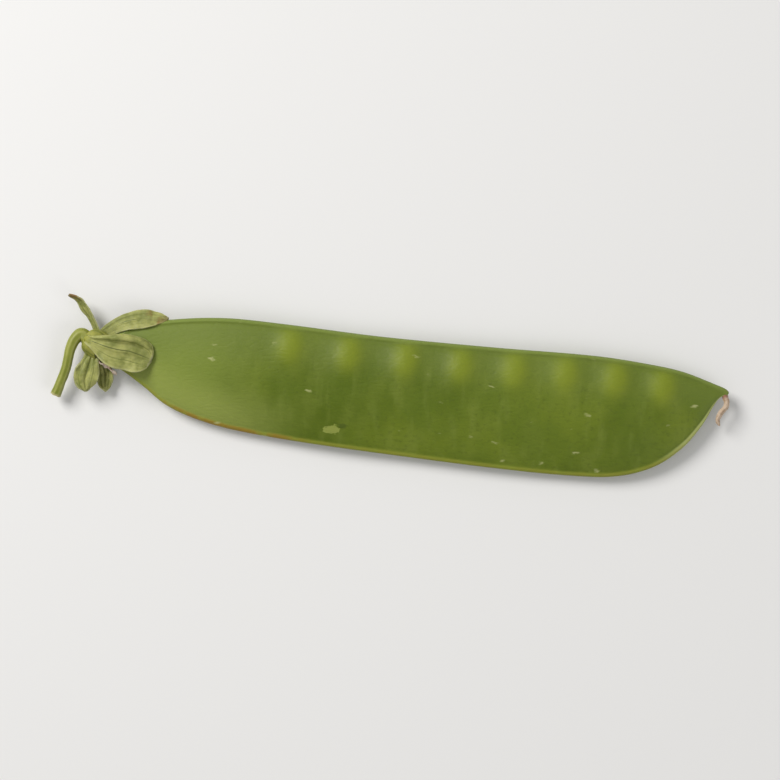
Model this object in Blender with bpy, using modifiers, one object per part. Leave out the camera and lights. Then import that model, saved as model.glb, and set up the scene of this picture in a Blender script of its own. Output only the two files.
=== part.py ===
"""A snow pea pod as picked: the flat pod, its leafy calyx, the hooked stem and the dried style.

Metres, +Z up. The pod lies on its side: +X runs from the stem to the tip, +Y is the
seed-bearing seam and Z is the thickness. The origin is on the surface it lies on, under
the middle of the whole thing.
"""

import math

import bmesh
import bpy
from mathutils import Vector

MM = 0.001

# The pod
POD_LENGTH = 126 * MM
POD_WIDTH = 24.6 * MM
HALF_THICKNESS = 2.7 * MM
PEA_COUNT = 8
FIRST_PEA, LAST_PEA = 0.294, 0.893  # shares of the pod's length
PEA_CROWDING = 0.12  # how much closer the peas sit towards the tip
PEA_FROM_SEAM = 4.4 * MM
PEA_RISE = 1.1 * MM  # how far a young pea lifts each side
PEA_RADIUS = 3.3 * MM
POD_SECTIONS = 72
POD_SIDES = 24
CLOSER_ENDS = 0.7  # how much closer the sections stand at the neck and the tip

# How it lies
ROLL = math.radians(3.6)  # seed seam held up by the row of peas
TWIST = math.radians(-3.0)  # further roll from the stem end to the tip
PRESSED = 0.22 * MM  # how much the soft side gives where it rests

# The calyx, around an axis that leans towards the seed seam
CALYX_LEAN = math.radians(27)
MOUTH_SETBACK = 0.8 * MM  # from the pod's neck to the cup's rim
CUP_LENGTH = 3.8 * MM
CUP_MOUTH = 2.95 * MM
CUP_BASE = 1.15 * MM
WALL = 0.4 * MM
BLADE = 0.42 * MM  # thickness of a sepal

# The stem and the style
STEM_RADIUS = 0.98 * MM
STYLE_RADIUS = 0.42 * MM
GAP = 0.3 * MM  # between pieces that grow out of each other

# Both seams of the pod, as shares of its length and width, from the neck to the hooked tip
SEED_SEAM = (
    (-0.021, 0.088), (0.003, 0.070), (0.020, 0.138), (0.048, 0.212), (0.103, 0.282),
    (0.187, 0.327), (0.278, 0.316), (0.441, 0.272), (0.625, 0.253), (0.783, 0.246),
    (0.868, 0.212), (0.924, 0.170), (0.981, 0.080), (0.994, 0.055), (1.000, 0.028), (0.998, 0.000),
)
KEEL_SEAM = (
    (-0.026, 0.018), (-0.008, -0.060), (0.030, -0.166), (0.066, -0.285), (0.103, -0.420),
    (0.149, -0.513), (0.210, -0.582), (0.315, -0.640), (0.476, -0.694), (0.635, -0.737),
    (0.754, -0.752), (0.830, -0.730), (0.889, -0.630), (0.933, -0.455), (0.961, -0.260),
    (0.975, -0.114), (0.9825, -0.041), (0.990, -0.003),
)
# Share of the way along, then share of the full half thickness
THICKNESS_ALONG = (
    (0.0, 0.38), (0.03, 0.62), (0.08, 0.76), (0.16, 0.92), (0.28, 1.0), (0.80, 1.0),
    (0.89, 0.80), (0.95, 0.50), (0.985, 0.26), (1.0, 0.16),
)
# Share of the way along, then height of the middle above the resting height
BOW_ALONG = ((0.0, 0.55 * MM), (0.25, 0.1 * MM), (0.6, 0.0), (0.85, -0.1 * MM), (1.0, 0.3 * MM))
# Share of a sepal's length, then share of its full width
SEPAL_WIDTHS = (
    (0.0, 0.46), (0.25, 0.72), (0.55, 0.98), (0.72, 0.95), (0.88, 0.60), (0.96, 0.26), (1.0, 0.06),
)
BROAD_WIDTHS = (
    (0.0, 0.60), (0.20, 0.90), (0.50, 1.0), (0.75, 0.95), (0.88, 0.70), (0.96, 0.36), (1.0, 0.10),
)

GREEN = (0.16, 0.24, 0.03, 1)
PALE_GREEN = (0.33, 0.36, 0.12, 1)
STEM_GREEN = (0.28, 0.36, 0.08, 1)
DRY_TAN = (0.52, 0.36, 0.24, 1)


def clear_scene():
    for obj in list(bpy.data.objects):
        bpy.data.objects.remove(obj)


def material(name, colour, roughness):
    made = bpy.data.materials.new(name)
    made.use_nodes = True
    shader = made.node_tree.nodes["Principled BSDF"]
    shader.inputs["Base Color"].default_value = colour
    shader.inputs["Roughness"].default_value = roughness
    return made


def between(stations, t):
    """The value at t, smoothly read from (place, value) stations."""
    places = [place for place, _ in stations]
    values = [value for _, value in stations]
    i = max(0, min(len(places) - 2, sum(place <= t for place in places) - 1))
    before, after = max(i - 1, 0), min(i + 2, len(places) - 1)
    span = places[i + 1] - places[i]
    slope_in = (values[i + 1] - values[before]) / (places[i + 1] - places[before])
    slope_out = (values[after] - values[i]) / (places[after] - places[i])
    u = min(max((t - places[i]) / span, 0), 1)
    return (
        values[i] * (1 + 2 * u) * (1 - u) ** 2
        + slope_in * span * u * (1 - u) ** 2
        + values[i + 1] * u * u * (3 - 2 * u)
        + slope_out * span * u * u * (u - 1)
    )


def smooth_path(points, count, closer_ends=0.0):
    """Count points along a smooth curve through the given ones, closer together at its ends."""
    points = [Vector(p) for p in points]
    reach = [0.0]
    for a, b in zip(points, points[1:]):
        reach.append(reach[-1] + (b - a).length)
    axes = [list(zip(reach, (p[k] for p in points))) for k in range(len(points[0]))]
    fine = [
        Vector([between(axis, reach[-1] * i / 600) for axis in axes]) for i in range(601)
    ]
    run = [0.0]
    for a, b in zip(fine, fine[1:]):
        run.append(run[-1] + (b - a).length)
    found, i = [], 0
    for n in range(count):
        u = n / (count - 1)
        wanted = run[-1] * (u - closer_ends * math.sin(2 * math.pi * u) / (2 * math.pi))
        while i < len(run) - 2 and run[i + 1] < wanted:
            i += 1
        found.append(fine[i].lerp(fine[i + 1], (wanted - run[i]) / (run[i + 1] - run[i])))
    return found


def mesh_object(name, bm, finish):
    bmesh.ops.recalc_face_normals(bm, faces=bm.faces[:])
    mesh = bpy.data.meshes.new(name)
    bm.to_mesh(mesh)
    bm.free()
    mesh.shade_smooth()
    mesh.materials.append(finish)
    obj = bpy.data.objects.new(name, mesh)
    collection.objects.link(obj)
    return obj


def pod_sections():
    """The pod's rings of points around its thickness, before it is laid down."""
    seed, keel = (
        smooth_path([(x * POD_LENGTH, y * POD_WIDTH) for x, y in seam], POD_SECTIONS, CLOSER_ENDS)
        for seam in (SEED_SEAM, KEEL_SEAM)
    )
    peas = []
    for n in range(PEA_COUNT):
        u = n / (PEA_COUNT - 1)
        u *= 1 + PEA_CROWDING * (1 - u)
        x = POD_LENGTH * (FIRST_PEA + (LAST_PEA - FIRST_PEA) * u)
        seam = min(seed, key=lambda p: abs(p.x - x))
        peas.append(Vector((x, seam.y - PEA_FROM_SEAM)))
    rings = []
    for top, bottom in zip(seed, keel):
        middle, half = (top + bottom) / 2, (top - bottom) / 2
        along = min(max(middle.x / POD_LENGTH, 0), 1)
        thick = HALF_THICKNESS * between(THICKNESS_ALONG, along)
        roll = ROLL + TWIST * along
        ring = []
        for k in range(POD_SIDES):
            angle = 2 * math.pi * k / POD_SIDES
            flat = middle + half * math.cos(angle)
            side = math.sin(angle)
            rise = sum(math.exp(-(((flat - pea).length / PEA_RADIUS) ** 2)) for pea in peas)
            height = thick * math.copysign(abs(side) ** 1.2, side) + PEA_RISE * rise * side
            across = flat.y * math.cos(roll) - height * math.sin(roll)
            up = flat.y * math.sin(roll) + height * math.cos(roll)
            ring.append(Vector((flat.x, across, up + between(BOW_ALONG, along))))
        rings.append(ring)
    return rings


def rest_height(rings):
    """How far the pod is lifted so that its soft side is only a little pressed."""
    return -min(point.z for ring in rings for point in ring) - PRESSED


def make_pod(rings, lift):
    """A closed loft through the rings, flattened where it rests on the surface."""
    bm = bmesh.new()
    made = [
        [bm.verts.new((p.x, p.y, max(p.z + lift, 0.0))) for p in ring] for ring in rings
    ]
    for a, b in zip(made, made[1:]):
        for k in range(POD_SIDES):
            following = (k + 1) % POD_SIDES
            bm.faces.new((a[k], a[following], b[following], b[k]))
    bm.faces.new(made[0])
    bm.faces.new(made[-1])
    return mesh_object("pod", bm, material("pod_skin", GREEN, 0.45))


def make_cup(mouth, axis):
    """The calyx tube: a turned bell whose mouth holds the pod's neck."""
    outer = [
        (CUP_MOUTH, CUP_LENGTH),
        (0.955 * CUP_MOUTH, 0.70 * CUP_LENGTH),
        (0.86 * CUP_MOUTH, 0.40 * CUP_LENGTH),
        (0.66 * CUP_MOUTH, 0.14 * CUP_LENGTH),
        (CUP_BASE, 0.0),
        (0.0, 0.0),
    ]
    inner = [(max(r - WALL, 0.0), max(z, 0.22 * CUP_LENGTH)) for r, z in outer[:4]]
    inner.append((0.0, 0.19 * CUP_LENGTH))
    profile = inner[::-1] + outer
    mesh = bpy.data.meshes.new("calyx_cup")
    edges = [(i, i + 1) for i in range(len(profile) - 1)]
    mesh.from_pydata([(r, 0.0, z) for r, z in profile], edges, [])
    mesh.materials.append(material("calyx_green", PALE_GREEN, 0.6))
    cup = bpy.data.objects.new("calyx_cup", mesh)
    collection.objects.link(cup)
    turn = cup.modifiers.new("turned", "SCREW")
    turn.steps = turn.render_steps = 24
    turn.use_merge_vertices = True
    turn.merge_threshold = 0.00001
    turn.use_smooth_shade = True
    cup.rotation_mode = "QUATERNION"
    cup.rotation_quaternion = axis.to_track_quat("Z", "Y")
    cup.location = mouth - axis * CUP_LENGTH
    return cup


def make_blade(name, spine, side_at_base, side_at_tip, width, hollow, finish, widths=SEPAL_WIDTHS):
    """A thin leafy blade: a grid bent along a spine, a little hollow across, then thickened."""
    rows, columns = 12, 6
    points = smooth_path(spine, rows + 1)
    bm = bmesh.new()
    bmesh.ops.create_grid(bm, x_segments=columns, y_segments=rows, size=1)
    for vert in bm.verts:
        t = (vert.co.y + 1) / 2
        row = round(t * rows)
        across = vert.co.x
        ahead = (points[min(row + 1, rows)] - points[max(row - 1, 0)]).normalized()
        side = Vector(side_at_base).lerp(Vector(side_at_tip), t)
        side = (side - ahead * side.dot(ahead)).normalized()
        half = between(widths, t) * width / 2
        vert.co = points[row] + half * (side * across + side.cross(ahead) * hollow * across**2)
    blade = mesh_object(name, bm, finish)
    thicken = blade.modifiers.new("blade", "SOLIDIFY")
    thicken.thickness = BLADE
    thicken.offset = 0
    return blade


def make_rod(name, points, radii, radius, finish):
    """A round rod along a smooth path, with its radius given by stations."""
    curve = bpy.data.curves.new(name, "CURVE")
    curve.dimensions = "3D"
    curve.bevel_depth = radius
    curve.bevel_resolution = 2
    curve.use_fill_caps = True
    spline = curve.splines.new("POLY")
    spline.points.add(len(points) - 1)
    for i, point in enumerate(points):
        spline.points[i].co = (*point, 1)
        spline.points[i].radius = between(radii, i / (len(points) - 1))
    curve.materials.append(finish)
    rod = bpy.data.objects.new(name, curve)
    collection.objects.link(rod)
    return rod


def around(neck, *steps):
    """Points given in millimetres from the middle of the pod's neck."""
    return [neck + Vector(step) * MM for step in steps]


def make_sepals(neck):
    """Five sepals from the rim of the cup, named for where each one lies."""
    leaf = material("sepal_green", PALE_GREEN, 0.6)
    over_pod = around(neck, (-0.2, -0.2, 3.1), (2.4, -0.1, 3.1), (5.7, -0.3, 2.7), (9.9, -1.7, 2.35))
    along_seam = around(
        neck, (0.4, 3.9, -0.7), (3.2, 5.1, -1.2), (7.0, 5.8, -1.3), (12.4, 6.7, -1.0)
    )
    bent_back = around(
        neck, (-1.5, 4.1, -0.6), (-2.9, 5.8, -0.7), (-4.3, 7.7, -0.4), (-5.8, 9.5, 0.1), (-7.9, 10.3, 0.7)
    )
    under_stem = around(
        neck, (-2.2, -2.7, 0.9), (-3.0, -4.4, 1.2), (-3.4, -6.4, 0.9), (-3.2, -8.8, 0.0)
    )
    under_pod = around(
        neck, (-0.2, -3.3, -1.5), (0.3, -5.2, -1.6), (0.4, -7.0, -1.6), (0.7, -8.6, -1.3)
    )
    return [
        make_blade(
            "sepal_over_pod", over_pod, (0.35, 0.94, 0.1), (0.3, 0.95, 0.05), 7.3 * MM, -0.16, leaf,
            BROAD_WIDTHS,
        ),
        make_blade(
            "sepal_along_seam", along_seam, (-0.4, 0.75, 0.55), (-0.2, 0.9, 0.5), 4.8 * MM, 0.1, leaf
        ),
        make_blade(
            "sepal_bent_back", bent_back, (0.5, 0.3, 0.8), (0.35, 0.8, 0.5), 2.1 * MM, 0.2, leaf
        ),
        make_blade(
            "sepal_under_stem", under_stem, (-0.9, 0.3, -0.2), (-0.95, 0.2, 0.1), 5.2 * MM, -0.2, leaf
        ),
        make_blade(
            "sepal_under_pod", under_pod, (-0.9, -0.1, -0.1), (-0.95, -0.1, 0.1), 3.3 * MM, 0.14, leaf
        ),
    ]


def make_stamen_sheath(neck, dry):
    """The dried stamens, left as a papery strip between the neck and the cup's rim."""
    spine = around(neck, (-1.4, -2.6, 0.5), (0.2, -3.3, 0.5), (1.9, -4.3, 0.4), (2.8, -5.1, 0.4))
    widths = ((0.0, 0.8), (0.4, 1.0), (0.8, 0.7), (1.0, 0.3))
    sheath = make_blade(
        "stamen_sheath", spine, (0, 0, 1), (0.1, 0, 1), 1.5 * MM, 0.1, dry, widths
    )
    sheath.modifiers["blade"].thickness = 0.22 * MM
    return sheath


def make_stem(neck, mouth, axis):
    """The stem leaves the cup's base, hooks over and runs down to where it was snapped off."""
    path = [mouth - axis * (CUP_LENGTH + GAP * step) for step in (1, 3)]
    path += around(
        neck, (-6.1, 1.4, 0.3), (-6.8, -0.6, 0.4), (-7.1, -2.5, 0.3), (-7.4, -4.3, 0.0),
        (-8.3, -7.2, -0.5), (-9.3, -10.0, -1.0),
    )
    radii = ((0.0, 1.12), (0.12, 1.0), (0.5, 0.94), (0.9, 1.0), (1.0, 1.12))
    return make_rod(
        "stem", smooth_path(path, 20), radii, STEM_RADIUS, material("stem_green", STEM_GREEN, 0.5)
    )


def make_style(tip, dry):
    """The dried style turns back from the hooked tip along the pod's blunt end."""
    path = around(
        tip, (0.05, -0.5, 0.0), (0.4, -1.2, 0.1), (0.3, -2.3, 0.25), (-0.65, -3.6, 0.35),
        (-1.15, -5.0, 0.2), (-0.65, -6.2, 0.0),
    )
    radii = ((0.0, 1.15), (0.3, 1.0), (0.8, 0.9), (1.0, 0.5))
    return make_rod("style", smooth_path(path, 16), radii, STYLE_RADIUS, dry)


def centre_on_base(objects):
    """Parents everything to an empty that brings the origin under the middle of the whole."""
    bpy.context.view_layer.update()
    graph = bpy.context.evaluated_depsgraph_get()
    points = []
    for obj in objects:
        shape = obj.evaluated_get(graph)
        mesh = shape.to_mesh()
        points += [shape.matrix_world @ v.co for v in mesh.vertices]
        shape.to_mesh_clear()
    low = Vector([min(p[k] for p in points) for k in range(3)])
    high = Vector([max(p[k] for p in points) for k in range(3)])
    root = bpy.data.objects.new("snow_pea_pod", None)
    collection.objects.link(root)
    root.location = (-(low.x + high.x) / 2, -(low.y + high.y) / 2, -low.z)
    for obj in objects:
        obj.parent = root


clear_scene()
collection = bpy.data.collections.new("snow pea pod")
bpy.context.scene.collection.children.link(collection)

sections = pod_sections()
lift = rest_height(sections)
height = Vector((0, 0, lift))
neck = Vector((0, 0, between([(ring[0].x, ring[0].z) for ring in sections[:8]], 0))) + height
tip = sum(sections[-1], Vector()) / POD_SIDES + height
calyx_axis = Vector((math.cos(CALYX_LEAN), -math.sin(CALYX_LEAN), 0))
mouth = neck - calyx_axis * MOUTH_SETBACK

dry_finish = material("dried_tissue", DRY_TAN, 0.8)
centre_on_base(
    [
        make_pod(sections, lift),
        make_cup(mouth, calyx_axis),
        *make_sepals(neck),
        make_stamen_sheath(neck, dry_finish),
        make_stem(neck, mouth, calyx_axis),
        make_style(tip, dry_finish),
    ]
)
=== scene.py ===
"""A snow pea pod as picked, lying on its flat side on a pale studio floor."""

import math

import bpy
import numpy as np
from mathutils import Matrix, Vector


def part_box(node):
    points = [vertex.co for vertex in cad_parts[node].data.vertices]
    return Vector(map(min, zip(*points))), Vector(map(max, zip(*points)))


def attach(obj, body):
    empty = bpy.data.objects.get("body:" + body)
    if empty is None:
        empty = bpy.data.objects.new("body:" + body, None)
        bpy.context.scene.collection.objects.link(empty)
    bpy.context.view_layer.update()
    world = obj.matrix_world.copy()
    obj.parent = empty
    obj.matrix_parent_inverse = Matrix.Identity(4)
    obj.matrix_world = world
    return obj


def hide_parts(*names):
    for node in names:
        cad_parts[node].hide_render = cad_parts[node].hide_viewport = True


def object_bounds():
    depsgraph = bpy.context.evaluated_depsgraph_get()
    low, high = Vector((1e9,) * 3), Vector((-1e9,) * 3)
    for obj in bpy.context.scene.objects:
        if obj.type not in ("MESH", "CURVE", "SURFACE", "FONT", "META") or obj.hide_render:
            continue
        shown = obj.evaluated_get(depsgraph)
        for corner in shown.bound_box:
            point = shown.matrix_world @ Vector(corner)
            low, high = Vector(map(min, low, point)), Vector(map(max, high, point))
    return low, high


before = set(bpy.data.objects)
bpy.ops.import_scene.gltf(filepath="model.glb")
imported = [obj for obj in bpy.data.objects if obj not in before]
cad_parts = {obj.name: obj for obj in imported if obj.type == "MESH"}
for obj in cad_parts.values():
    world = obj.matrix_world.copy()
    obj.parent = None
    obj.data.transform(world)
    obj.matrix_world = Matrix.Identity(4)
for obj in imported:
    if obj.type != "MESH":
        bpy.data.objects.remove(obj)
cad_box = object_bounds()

# ---------------------------------------------------------------- the pod
# One flat, hollow case of crisp green flesh under a waxy skin. It grew as one folded leaf: its
# edges met in the double rib of the seed seam, and the fold is the thin keel. It lies pressed
# a little flat on its underside, and a row of young peas lifts both faces by the seed seam.

MM = 0.001
POD_LENGTH = 126 * MM
POD_WIDTH = 24.6 * MM
HALF_THICKNESS = 2.7 * MM
ROLL = math.radians(3.6)  # how far the neck is rolled over, and how that changes to the tip
TWIST = math.radians(-3.0)
SEED_SEAM = (  # shares of the length and width, from the middle of the neck
    (-0.021, 0.088), (0.003, 0.070), (0.020, 0.138), (0.048, 0.212), (0.103, 0.282),
    (0.187, 0.327), (0.278, 0.316), (0.441, 0.272), (0.625, 0.253), (0.783, 0.246),
    (0.868, 0.212), (0.924, 0.170), (0.981, 0.080), (0.994, 0.055), (1.000, 0.028), (0.998, 0.000),
)
KEEL_SEAM = (
    (-0.026, 0.018), (-0.008, -0.060), (0.030, -0.166), (0.066, -0.285), (0.103, -0.420),
    (0.149, -0.513), (0.210, -0.582), (0.315, -0.640), (0.476, -0.694), (0.635, -0.737),
    (0.754, -0.752), (0.830, -0.730), (0.889, -0.630), (0.933, -0.455), (0.961, -0.260),
    (0.975, -0.114), (0.9825, -0.041), (0.990, -0.003),
)
THICKNESS_ALONG = (  # shares of the length and of the half thickness
    (0.0, 0.38), (0.03, 0.62), (0.08, 0.76), (0.16, 0.92), (0.28, 1.0), (0.80, 1.0),
    (0.89, 0.80), (0.95, 0.50), (0.985, 0.26), (1.0, 0.16),
)
BOW_ALONG = (  # how far the pod's middle plane rises along its length
    (0.0, 0.55 * MM), (0.25, 0.1 * MM), (0.6, 0.0), (0.85, -0.1 * MM), (1.0, 0.3 * MM),
)
POD_SECTIONS = 400
POD_SIDES = 192
SEED_RIB = 0.66 * MM  # half the thickness of the pod right at each seam
KEEL_RIB = 0.34 * MM
SEED_RELIEF = ((0.17, 0.62, 0.30), (-0.13, 1.35, 0.42))  # rise, place and width in mm
KEEL_RELIEF = ((0.08, 0.50, 0.30), (-0.06, 1.10, 0.40))
FURROW_DEPTH = 0.22 * MM
PEA_LINE_FROM_SEAM = 4.4 * MM
FIRST_PEA = 0.294  # shares of the pod's length
LAST_PEA = 0.893


def between(stations, t):
    """The values at t, smoothly read from (place, value) stations."""
    places, values = np.array(stations, float).T
    i = np.clip(np.searchsorted(places, t, side="right") - 1, 0, len(places) - 2)
    before, after = np.maximum(i - 1, 0), np.minimum(i + 2, len(places) - 1)
    span = places[i + 1] - places[i]
    slope_in = (values[i + 1] - values[before]) / (places[i + 1] - places[before])
    slope_out = (values[after] - values[i]) / (places[after] - places[i])
    u = np.clip((t - places[i]) / span, 0, 1)
    return (
        values[i] * (1 + 2 * u) * (1 - u) ** 2
        + slope_in * span * u * (1 - u) ** 2
        + values[i + 1] * u * u * (3 - 2 * u)
        + slope_out * span * u * u * (u - 1)
    )


def smooth_path(points, count, closer_ends=0.0):
    """Count points along a smooth curve through the given ones, closer together at its ends."""
    points = np.array([tuple(p) for p in points], float)
    reach = np.concatenate([[0], np.cumsum(np.linalg.norm(np.diff(points, axis=0), axis=1))])
    fine_at = np.linspace(0, reach[-1], 601)
    fine = np.stack([between(list(zip(reach, axis)), fine_at) for axis in points.T], axis=1)
    run = np.concatenate([[0], np.cumsum(np.linalg.norm(np.diff(fine, axis=0), axis=1))])
    u = np.linspace(0, 1, count)
    wanted = run[-1] * (u - closer_ends * np.sin(2 * np.pi * u) / (2 * np.pi))
    return np.stack([np.interp(wanted, run, axis) for axis in fine.T], axis=1)


def hill(distance, width):
    """A soft bump, 1 in its middle and nearly 0 two widths away."""
    return np.exp(-((distance / width) ** 2))


def smooth_mesh(name, grid, faces, attributes):
    """An object with a smooth mesh on a grid of points; attributes hold a number for each."""
    mesh = bpy.data.meshes.new(name)
    mesh.from_pydata(grid.reshape(-1, 3).tolist(), [], faces)
    for attribute, values in attributes.items():
        numbers = np.ascontiguousarray(np.broadcast_to(values, grid.shape[:2]), np.float32)
        stored = mesh.attributes.new(attribute, "FLOAT", "POINT")
        stored.data.foreach_set("value", numbers.ravel())
    mesh.shade_smooth()
    made = bpy.data.objects.new(name, mesh)
    bpy.context.scene.collection.objects.link(made)
    return made


def loft(name, rings, attributes):
    """A mesh through rings of points, closed around and at both ends."""
    count, sides = rings.shape[:2]
    index = np.arange(count * sides).reshape(count, sides)
    after = np.roll(index, -1, axis=1)
    quads = np.stack([index[:-1], after[:-1], after[1:], index[1:]], axis=-1).reshape(-1, 4)
    faces = [*quads.tolist(), index[0][::-1].tolist(), index[-1].tolist()]
    return smooth_mesh(name, rings, faces, attributes)


def pod_shape():
    """The pod without its peas, before it is laid down, and the line that the peas follow."""
    seed, keel = (
        smooth_path(np.array(seam) * (POD_LENGTH, POD_WIDTH), POD_SECTIONS, 0.5)[:, None]
        for seam in (SEED_SEAM, KEEL_SEAM)
    )
    middle, reach = (seed + keel) / 2, (seed - keel) / 2
    half = np.linalg.norm(reach, axis=2)
    along = np.clip(middle[..., 0] / POD_LENGTH, 0, 1)
    angle = 2 * np.pi * np.arange(POD_SIDES)[None] / POD_SIDES
    share, side = np.cos(angle), np.sin(angle)
    from_seed, from_keel = half * (1 - share), half * (1 + share)

    # Two walls pressed together at the seams, parting towards the middle
    wall = KEEL_RIB + (SEED_RIB - KEEL_RIB) * (share + 1) / 2
    wall = wall * np.clip(half / (2.4 * MM), 0, 1)
    edge = np.minimum(np.minimum(from_seed, from_keel) / wall, 1)
    belly = HALF_THICKNESS * between(THICKNESS_ALONG, along)
    thick = wall * np.sqrt(1 - (1 - edge) ** 2) + np.maximum(belly - wall, 0) * side**2

    # A rib and a groove run along each seam, and fade out where the pod gets narrow
    fade = np.clip(half / (7 * MM), 0, 1)
    for distance, relief in ((from_seed, SEED_RELIEF), (from_keel, KEEL_RELIEF)):
        for rise, place, width in relief:
            thick += fade * rise * MM * hill(distance - place * MM, width * MM)
    height = thick * np.sign(np.round(side, 6))

    # The furrow between the seed seam's two ribs
    furrow = fade * FURROW_DEPTH * hill(height, 0.2 * MM) * hill(from_seed, 0.5 * MM)
    outward = reach / half[..., None]
    flat = middle + reach * share[..., None] - outward * furrow[..., None]

    # The whole pod is a little wavy, most along its free edges
    x = middle[..., 0]
    wave = 0.22 * MM * np.sin(x / (13 * MM) + 0.6) + 0.12 * MM * np.sin(x / (5.3 * MM) + 2.1)
    wave = wave * np.sin(np.pi * along) * share**2 * np.sign(share)
    roll = ROLL + TWIST * along
    across = flat[..., 1] * np.cos(roll) - height * np.sin(roll)
    up = flat[..., 1] * np.sin(roll) + height * np.cos(roll) + between(BOW_ALONG, along) + wave
    rings = np.stack([flat[..., 0], across, up], axis=-1)

    pea_line = seed[:, 0] - outward[:, 0] * PEA_LINE_FROM_SEAM
    attributes = {
        "flat_x": flat[..., 0],
        "flat_y": flat[..., 1],
        "from_seed_seam": from_seed,
        "from_keel": from_keel,
        "along": along,
    }
    return rings, pea_line, attributes


def neck_place(rings):
    """Where the middle of the pod's neck lies in the frame, and the move that takes it there."""
    pod_low, pod_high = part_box("pod")
    cup_low, cup_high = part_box("calyx_cup")
    first = int(np.argmax(rings[:, 0, 0] > 0))
    neck_height = (cup_low[2] + cup_high[2]) / 2
    move = Vector((
        pod_high[0] - rings[..., 0].max(),
        pod_low[1] - rings[..., 1].min(),
        neck_height - rings[first, 0, 2],
    ))
    return Vector((move.x, move.y, neck_height)), move


def node(tree, kind, inputs=(), **settings):
    """Adds a node with its settings. Each input takes a value, a node, or a node's socket."""
    made = tree.nodes.new(kind)
    for name, value in settings.items():
        setattr(made, name, value)
    for name, value in dict(inputs).items():
        socket = made.inputs[name]
        if isinstance(value, bpy.types.Node):
            value = value.outputs[0]
        if isinstance(value, bpy.types.NodeSocket):
            tree.links.new(value, socket)
        else:
            socket.default_value = value
    return made


def new_tree(name, inputs):
    """A Geometry Nodes tree with named inputs, given as name: (kind, default)."""
    tree = bpy.data.node_groups.new(name, "GeometryNodeTree")
    tree.interface.new_socket("Geometry", in_out="INPUT", socket_type="NodeSocketGeometry")
    for label, (kind, default) in inputs.items():
        socket = tree.interface.new_socket(label, in_out="INPUT", socket_type="NodeSocket" + kind)
        if default is not None:
            socket.default_value = default
    tree.interface.new_socket("Geometry", in_out="OUTPUT", socket_type="NodeSocketGeometry")
    return tree, node(tree, "NodeGroupInput").outputs


def lifted(tree, geometry, distance):
    """Moves the surface out along its normals."""
    normal = node(tree, "GeometryNodeInputNormal")
    offset = node(tree, "ShaderNodeVectorMath", {0: normal, "Scale": distance}, operation="SCALE")
    return node(tree, "GeometryNodeSetPosition", {"Geometry": geometry, "Offset": offset})


def finish_tree(tree, geometry, material):
    """Ends a tree with its instances made real and its material set."""
    real = node(tree, "GeometryNodeRealizeInstances", {"Geometry": geometry})
    painted = node(tree, "GeometryNodeSetMaterial", {"Geometry": real, "Material": material})
    node(tree, "NodeGroupOutput", {"Geometry": painted})


def uneven(tree, size, depth):
    """Lumps about size across, which rise and fall by half of depth."""
    scale = node(tree, "ShaderNodeMath", {0: 1, 1: size}, operation="DIVIDE")
    noise = node(tree, "ShaderNodeTexNoise", {"Scale": scale, "Detail": 2.0})
    centred = node(tree, "ShaderNodeMath", {0: noise, 1: 0.5}, operation="SUBTRACT")
    return node(tree, "ShaderNodeMath", {0: centred, 1: depth}, operation="MULTIPLY")


def grown(obj, tree, **inputs):
    """The object's shape after a tree has run on it, as a plain mesh of the same name."""
    sockets = {item.name: item.identifier for item in tree.interface.items_tree}
    modifier = obj.modifiers.new("grown", "NODES")
    modifier.node_group = tree
    for name, value in inputs.items():
        modifier[sockets[name.replace("_", " ").capitalize()]] = value
    graph = bpy.context.evaluated_depsgraph_get()
    mesh = bpy.data.meshes.new_from_object(
        obj.evaluated_get(graph), preserve_all_data_layers=True, depsgraph=graph
    )
    name = obj.name
    bpy.data.objects.remove(obj)
    made = bpy.data.objects.new(name, mesh)
    mesh.name = name
    bpy.context.scene.collection.objects.link(made)
    return made


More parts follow.
